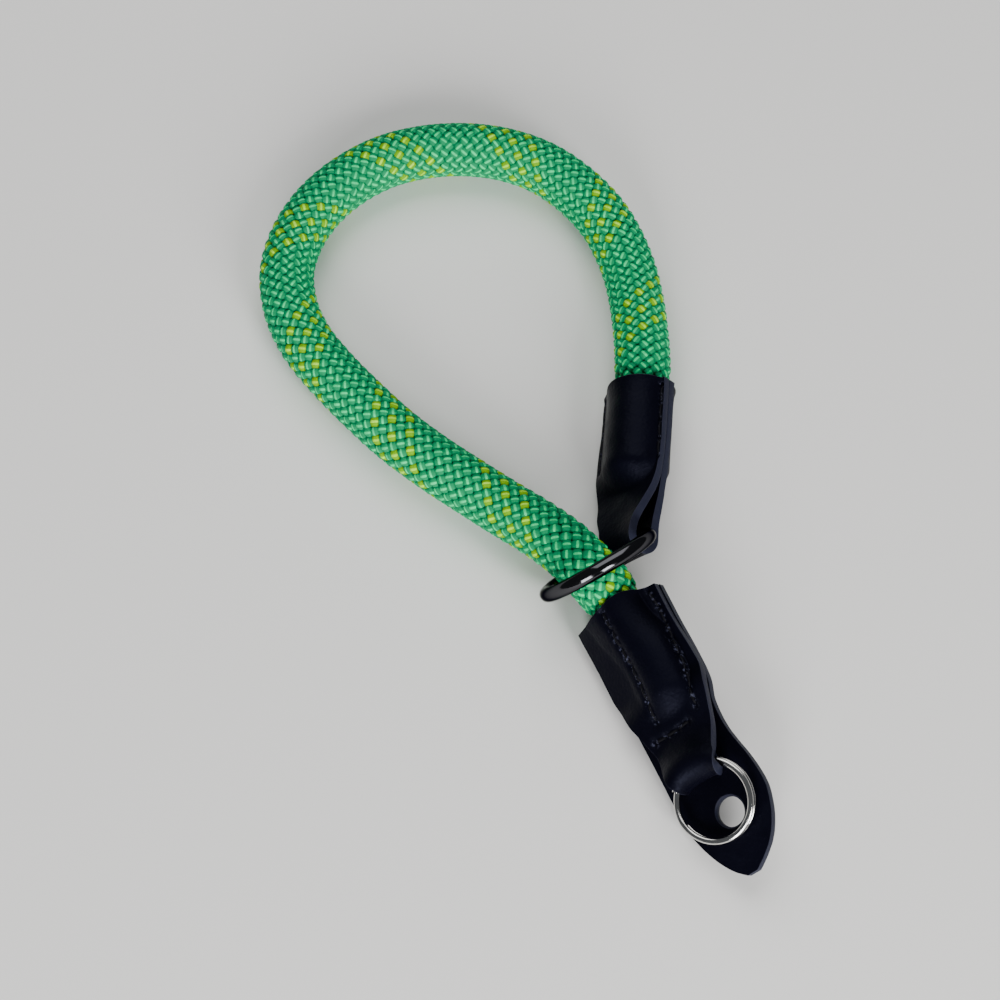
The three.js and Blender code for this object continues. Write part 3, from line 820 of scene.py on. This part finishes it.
# A leather piece from rows of middle points: a grid is bent to them, then walled, cut and
# rounded. press holds how far each place of the outer face is pushed in, and joined marks
# the rows where the inner face is sewn to another. It returns the outer face's points and
# normals, row by row, for the stitches.
def leatherPiece(name, rows, press, end, joined, cutter=None):
    rowCount, columns = len(rows), len(rows[0])
    deselectAll()
    bpy.ops.mesh.primitive_grid_add(x_subdivisions=columns - 1, y_subdivisions=rowCount - 1, size=1)
    obj = bpy.context.active_object
    obj.name = name
    obj.data.name = name
    co = readPoints(obj.data)
    column = np.rint((co[:, 0] + 0.5) * (columns - 1)).astype(int)
    row = np.rint((co[:, 1] + 0.5) * (rowCount - 1)).astype(int)
    matrix = np.array(endPlace(end))
    middle = np.array(rows)[row, column] * mm
    writePoints(obj.data, middle @ matrix[:3, :3].T + matrix[:3, 3])
    for finish in ("leather", "cutEdge", "rimHighlight"):
        obj.data.materials.append(materials[finish])
    wall = obj.modifiers.new("wall", "SOLIDIFY")
    wall.thickness = leather["thickness"] * mm
    wall.offset = 0.0
    wall.use_even_offset = True
    wall.material_offset_rim = 1  # cutEdge
    applyAll(obj)
    # The wall's first half of points is the inner face, and the second the outer.
    count = len(middle)
    both = readPoints(obj.data).reshape(2, count, 3)
    outward = unit(both[1] - both[0])
    pressed = np.array(press)[row, column]
    both[1] -= outward * (pressed * mm)[:, None]
    writePoints(obj.data, both)
    # Pale flecks of painted highlight are marked where the seams press the outer face in.
    creaseGlint = np.zeros((2, count), np.float32)
    creaseGlint[1] = smooth(pressed, leather["glintFrom"] * leather["creaseDepth"], leather["creaseDepth"])
    obj.data.attributes.new("creaseGlint", "FLOAT", "POINT").data.foreach_set("value", creaseGlint.ravel())
    bevelRim(obj, row, column, joined)
    order = np.empty(count, int)
    order[row * columns + column] = np.arange(count)
    if cutter is not None:
        hole = obj.modifiers.new("hole", "BOOLEAN")
        hole.object = cutter
        hole.operation = "DIFFERENCE"
        hole.solver = "EXACT"
        hole.material_mode = "TRANSFER"
        applyAll(obj)
        bpy.data.objects.remove(cutter)
    choose(obj)
    bpy.ops.object.shade_smooth()
    place(obj, "leather", name)
    print(name, len(obj.data.polygons), "faces")
    return [values[order].reshape(rowCount, columns, 3) for values in (both[1], outward)]


# A row of middle points across a lay, on the rope's upper side or its lower one.
def bowedRow(u, side, profile, end, bow):
    across, height = profile
    points = np.stack([np.full(len(across), float(u)), across, side * height], axis=1)
    return followWire(points, end, *bow)


def sliderLay(u):
    level = mix(sewnLevel, sliderFold, smooth(u, sliderEnd["sewnTo"], sliderEnd["foldCentre"]))
    return layProfile(sliderOutline, sliderEnd, u, level, leather["tent"])


# The slider's leather: one strip, from the mouth over the rope, round the ring and back under.
def buildSliderSleeve(seams):
    end = sliderEnd
    bow = (wireRing["coilRadius"], wireRing["tilt"])
    lay = evenly(0, end["foldCentre"], leather["rowGap"])
    neck = sliderLay(end["foldCentre"])[0]
    rows, press = [], []
    for side in (1, -1):  # over the rope, then under it
        for u in (lay if side > 0 else lay[::-1]):
            profile = sliderLay(u)
            rows.append(twistPoints(bowedRow(u, side, profile, end, bow), end))
            press.append(seamDepth(u, profile[0], seams) + rippleAt(u, profile[0], side * end["ripple"]))
        if side > 0:
            for turn in np.radians(evenly(0, 180, end["foldStep"])[1:-1]):
                u = end["foldCentre"] + sliderFold * math.sin(turn)
                profile = neck, np.full(columnCount, sliderFold * math.cos(turn))
                rows.append(twistPoints(bowedRow(u, 1, profile, end, bow), end))
                press.append(np.zeros(columnCount))
    return rows, press, lay


def cameraLay(u):
    sewn = mix(sewnLevel, stripLevel, smooth(u, *cameraEnd["opening"]))
    climb = smooth(u, cameraEnd["climbFrom"], cameraEnd["foldCentre"])
    level = mix(sewn, splitFoldLevel + foldRise, climb)
    return layProfile(cameraOutline, cameraEnd, u, level, leather["tent"])


# The camera end's upper leather: over the rope, round the split ring and tucked back under.
def buildCameraSleeve(seams):
    end = cameraEnd
    radius = splitRing["coilRadius"]
    lay = evenly(0, end["foldCentre"], leather["rowGap"])
    rows, press = [], []
    for u in lay:
        profile = cameraLay(u)
        points = bowedRow(u, 1, profile, end, (radius, 0))
        # The mouth's edge runs out over the rope's right side in a shallow tongue.
        tongue = np.exp(-((profile[0] - end["tongueAt"]) / end["tongueWidth"]) ** 2)
        points[:, 0] -= end["tongue"] * tongue * (1 - smooth(u, 0, end["tongueFade"]))
        rows.append(points)
        press.append(seamDepth(u, profile[0], seams) + rippleAt(u, profile[0], end["ripple"]))
    neck = cameraLay(end["foldCentre"])[0] - end["neckShift"]
    for turn in np.radians(evenly(0, 180, end["foldStep"])[1:-1]):
        off = neck * mix(1, end["tuckTaper"], turn / math.pi)
        lean = 1 / np.sqrt(1 - (off / radius) ** 2)
        loose = np.maximum(end["looseFold"] * (1 - (2 * off / radius) ** 2), 0)
        u = end["foldCentre"] + (foldReach * lean + loose) * math.sin(turn)
        height = np.full(columnCount, splitFoldLevel + foldRise * math.cos(turn))
        rows.append(followWire(np.stack([u, end["neckShift"] + off, height], axis=1), end, radius, 0))
        press.append(np.zeros(columnCount))
    tuck = end["neckShift"] + end["tuckTaper"] * neck, np.full(columnCount, tuckLevel)
    for u in evenly(end["foldCentre"], end["tuckedTo"], end["tuckGap"])[1:]:
        rows.append(bowedRow(u, 1, tuck, end, (radius, 0)))
        press.append(np.zeros(columnCount))
    return rows, press, lay


# The camera end's lower leather, which runs on past the sleeve as the pointed guard.
def buildGuard(seams):
    rows, press = [], []
    lay = evenly(0, guardOutline[-1][0], leather["rowGap"])
    for u in lay:
        level = mix(sewnLevel, flatLevel, smooth(u, *cameraEnd["opening"]))
        across, height = layProfile(guardOutline, cameraEnd, u, level)
        points = np.stack([np.full(columnCount, u), across, -height], axis=1)
        rows.append(points[::-1])
        press.append((seamDepth(u, across, seams) + rippleAt(u, across, cameraEnd["guardRipple"]))[::-1])
    return rows, press, lay


# A round cutter for the guard's hole, wider at both faces to leave a chamfer.
def buildPunch():
    half, chamfer, over = leather["thickness"] / 2, guardHole["chamfer"], guardHole["overshoot"]
    steps = [
        (-half - over, chamfer + over), (-half, chamfer), (chamfer - half, 0),
        (half - chamfer, 0), (half, chamfer), (half + over, chamfer + over),
    ]
    turn = np.linspace(0, 2 * math.pi, guardHole["sides"], endpoint=False)
    rows = []
    for height, wider in steps:
        radius = guardHole["diameter"] / 2 + wider
        level = np.full(len(turn), height)
        rows.append(np.stack([np.cos(turn) * radius, np.sin(turn) * radius, level], axis=1))
    rows = np.array(rows) * mm
    punch = meshFrom("punch", rows.reshape(-1, 3), tubeFaces(rows))
    at = Vector((guardHole["u"], guardHole["w"], guardLevel)) * mm
    punch.data.transform(endPlace(cameraEnd) @ Matrix.Translation(at))
    punch.data.materials.append(materials["cutEdge"])
    return punch


# A stitch stands a little above the leather and dips into a hole at each end. Millimetres.
thread = {
    "radius": 0.27, "sides": 10, "steps": 9,
    "inset": 0.06,  # how far from the holes' middles it ends, as a part of its length
    "stand": 0.04, "dip": 0.62, "bend": 4,
}


# The point and the normal of a leather face at u along it and w across it.
def onFace(face, u, w):
    lay, across = face["lay"], face["across"]
    low = int(np.clip(np.searchsorted(lay, u) - 1, 0, len(lay) - 2))
    t = (u - lay[low]) / (lay[low + 1] - lay[low])
    found = []
    for grid in (face["points"], face["normals"]):
        before, after = (
            np.array([np.interp(w, across[row], grid[row][:, i]) for i in range(3)]) for row in (low, low + 1)
        )
        found.append(mix(before, after, t))
    return found


def stitchRows(face, fromHole, toHole):
    path, up = [], []
    for t in np.linspace(thread["inset"], 1 - thread["inset"], thread["steps"]):
        point, out = onFace(face, mix(fromHole[0], toHole[0], t), mix(fromHole[1], toHole[1], t))
        stand = thread["stand"] - thread["dip"] * abs(2 * t - 1) ** thread["bend"]
        path.append(point + out * stand * mm)
        up.append(out / np.linalg.norm(out))
    path, up = np.array(path), np.array(up)
    along = unit(np.gradient(path, axis=0))
    aside = unit(np.cross(up, along))
    return path[:, None] + thread["radius"] * mm * circle(aside, np.cross(along, aside), thread["sides"])


# Short thread tubes from hole to hole on some leather faces, joined as one object.
def buildStitches(name, faces):
    allRows, allFaces = [], []
    for face in faces:
        for holes in face["seams"]:
            for fromHole, toHole in zip(holes[:-1], holes[1:]):
                rows = stitchRows(face, fromHole, toHole)
                allFaces += tubeFaces(rows, len(allRows) * thread["steps"] * thread["sides"])
                allRows.append(rows)
    points = np.concatenate([rows.reshape(-1, 3) for rows in allRows])
    obj = meshFrom(name, points, allFaces)
    obj.data.materials.append(materials["thread"])
    place(obj, "leather")


# The seams, as places (u, w) that each row of stitches passes through.
sliderSeams = [
    stitchHoles([(1.4, -6.9), (9, -7.1), (16.5, -7.2)]),
    stitchHoles([(1.4, 6.25), (16.5, 6.2)]),
]
neckSeam = stitchHoles([(25.4, -4.3), (25.9, -0.5), (25.4, 3.3)], leather["neckPitch"])
cameraSeams = [
    stitchHoles([(0.8, -1.4), (6.8, -1.2), (11, -1.1), (15.2, -1.0), (19.6, -1.4), (22.4, -2.2)]),
    stitchHoles([(0.8, 6.5), (5, 7.2), (10, 6.5), (15, 6.5), (19.2, 6.2), (23.6, 5.8)]),
    neckSeam,
]
guardSeams = [
    stitchHoles([(0.8, -7.6), (6, -6.6), (11, -5.6), (16, -5.4), (22.5, -5.6)]),
    stitchHoles([(0.8, 7.3), (10, 7.6), (19.2, 7.3), (23.6, 6.0)]),
    neckSeam,
]


# A leather face to sew: u of its rows, w of each row's columns, its points and normals, its seams.
def sewnFace(outline, end, lay, points, normals, seams):
    across = [layProfile(outline, end, u, flatLevel)[0] for u in lay]
    return {"lay": lay, "across": across, "points": points, "normals": normals, "seams": seams}


rows, press, lay = buildSliderSleeve(sliderSeams)
joined = [row[0, 0] < sliderEnd["sewnTo"] for row in rows]
points, normals = leatherPiece("slider_sleeve", rows, press, sliderEnd, joined)
buildStitches("slider_stitches", [
    sewnFace(sliderOutline, sliderEnd, lay, points, normals, sliderSeams),
    sewnFace(sliderOutline, sliderEnd, lay, points[::-1], normals[::-1], sliderSeams),
])

rows, press, lay = buildCameraSleeve(cameraSeams)
joined = [row[0, 0] < cameraEnd["sewnTo"] and index < len(lay) for index, row in enumerate(rows)]
points, normals = leatherPiece("camera_sleeve", rows, press, cameraEnd, joined)
upperFace = sewnFace(cameraOutline, cameraEnd, lay, points, normals, cameraSeams)

rows, press, lay = buildGuard(guardSeams)
joined = [row[0, 0] < cameraEnd["sewnTo"] for row in rows]
points, normals = leatherPiece("guard_flap", rows, press, cameraEnd, joined, buildPunch())
lowerFace = sewnFace(guardOutline, cameraEnd, lay, points[:, ::-1], normals[:, ::-1], guardSeams)
buildStitches("camera_stitches", [upperFace, lowerFace])
print("leather ready")


# A ring's place in its leather's fold, leaning back by the tilt.
def ringPlace(end, level, tilt, radius):
    return (
        endPlace(end) @ Matrix.Rotation(math.radians(end["twist"]), 4, "X")
        @ Matrix.Translation(Vector((end["foldCentre"], end["neckShift"], level)) * mm)
        @ Matrix.Rotation(-math.radians(tilt), 4, "Y") @ Matrix.Translation((radius * mm, 0, 0))
    )


def buildWireRing():
    form = wireRing
    deselectAll()
    bpy.ops.mesh.primitive_torus_add(
        major_segments=form["segments"][0], minor_segments=form["segments"][1],
        major_radius=form["coilRadius"] * mm, minor_radius=form["wireRadius"] * mm,
    )
    ring = bpy.context.active_object
    ring.name = "slider_ring"
    ring.data.name = "slider_ring"
    ring.data.transform(ringPlace(sliderEnd, 0, form["tilt"], form["coilRadius"]))
    ring.data.materials.append(materials["gunmetal"])
    bpy.ops.object.shade_smooth()
    place(ring, "gunmetal", "slider_ring")


# The split ring: flat wire in two turns, one on the other, crossing over between its two ends.
def buildSplitRing():
    form = splitRing
    crossing, corner = form["crossing"], form["corner"]
    turns = np.linspace(crossing, 720 - crossing, form["steps"])
    level = mix(-0.5, 0.5, smooth(turns, 360 - crossing, 360 + crossing)) * form["pitch"]
    cornerX, cornerZ = form["wireWidth"] / 2 - corner, form["wireHeight"] / 2 - corner
    section = []
    for quarter, (x, z) in enumerate([(1, 1), (-1, 1), (-1, -1), (1, -1)]):
        for step in range(form["cornerSteps"] + 1):
            angle = math.radians(90 * (quarter + step / form["cornerSteps"]))
            section.append((x * cornerX + corner * math.cos(angle), z * cornerZ + corner * math.sin(angle)))
    section = np.array(section)
    out = form["coilRadius"] + section[:, 0]
    angle = np.radians(turns)
    points = np.stack([
        np.cos(angle)[:, None] * out, np.sin(angle)[:, None] * out, level[:, None] + section[None, :, 1],
    ], axis=2) * mm
    ring = meshFrom("split_ring", points.reshape(-1, 3), tubeFaces(points))
    matrix = ringPlace(cameraEnd, splitFoldLevel, form["sag"], form["coilRadius"])
    ring.data.transform(matrix @ Matrix.Rotation(math.radians(form["turned"]), 4, "Z"))
    ring.data.materials.append(materials["nickel"])
    choose(ring)
    bpy.ops.object.shade_smooth_by_angle(angle=math.radians(form["smoothAngle"]))
    place(ring, "nickel", "split_ring")


buildWireRing()
buildSplitRing()
print("rings ready")

# The studio: a pale floor, a dim world and three soft lamps.
studio = {
    "floorSize": 3.0, "floorCentre": (-0.027, 0.03, 0), "floorColour": (0.78, 0.77, 0.75, 1.0),
    "worldColour": (0.88, 0.93, 1.0, 1.0), "worldStrength": 0.12,
    "lampCentre": (-0.01, 0.005, 0.01),  # near the plain ring
    "lampSide": (0.79, 0.54, 0.286),  # the way of the ring's wire where it shines
}
bpy.ops.mesh.primitive_plane_add(size=studio["floorSize"], location=studio["floorCentre"])
floor = bpy.context.active_object
floor.name = "floor"
floorLook = Finish("paleFloor")
floorLook.set(Base_Color=studio["floorColour"], Roughness=0.75)
floor.data.materials.append(floorLook.material)

world = bpy.data.worlds.new("studio")
bpy.context.scene.world = world
world.use_nodes = True
sky = world.node_tree.nodes["Background"].inputs
sky["Color"].default_value = studio["worldColour"]
sky["Strength"].default_value = studio["worldStrength"]

# Two soft windows stand in front, and a wide soft light hangs above and behind.
lights = [
    {"name": "windowRight", "from": (0.48, -0.77, 0.42), "away": 0.85, "size": (0.26, 0.46), "power": 8.0},
    {"name": "windowLeft", "from": (-0.17, -0.92, 0.34), "away": 0.85, "size": (0.28, 0.50), "power": 8.5},
    {"name": "above", "from": (-0.14, 0.58, 0.80), "away": 0.95, "size": (0.90, 0.90), "power": 7.0},
]
lampCentre, along = Vector(studio["lampCentre"]), Vector(studio["lampSide"])
for row in lights:
    toward = Vector(row["from"]).normalized()
    side = (along - along.dot(toward) * toward).normalized()
    turn = Matrix((side, toward.cross(side), toward)).transposed().to_euler()
    bpy.ops.object.light_add(type="AREA", location=lampCentre + toward * row["away"], rotation=turn)
    lamp = bpy.context.active_object
    lamp.name = row["name"]
    lamp.data.shape = "RECTANGLE"
    lamp.data.size, lamp.data.size_y = row["size"]
    lamp.data.energy = row["power"]
print("stage ready")
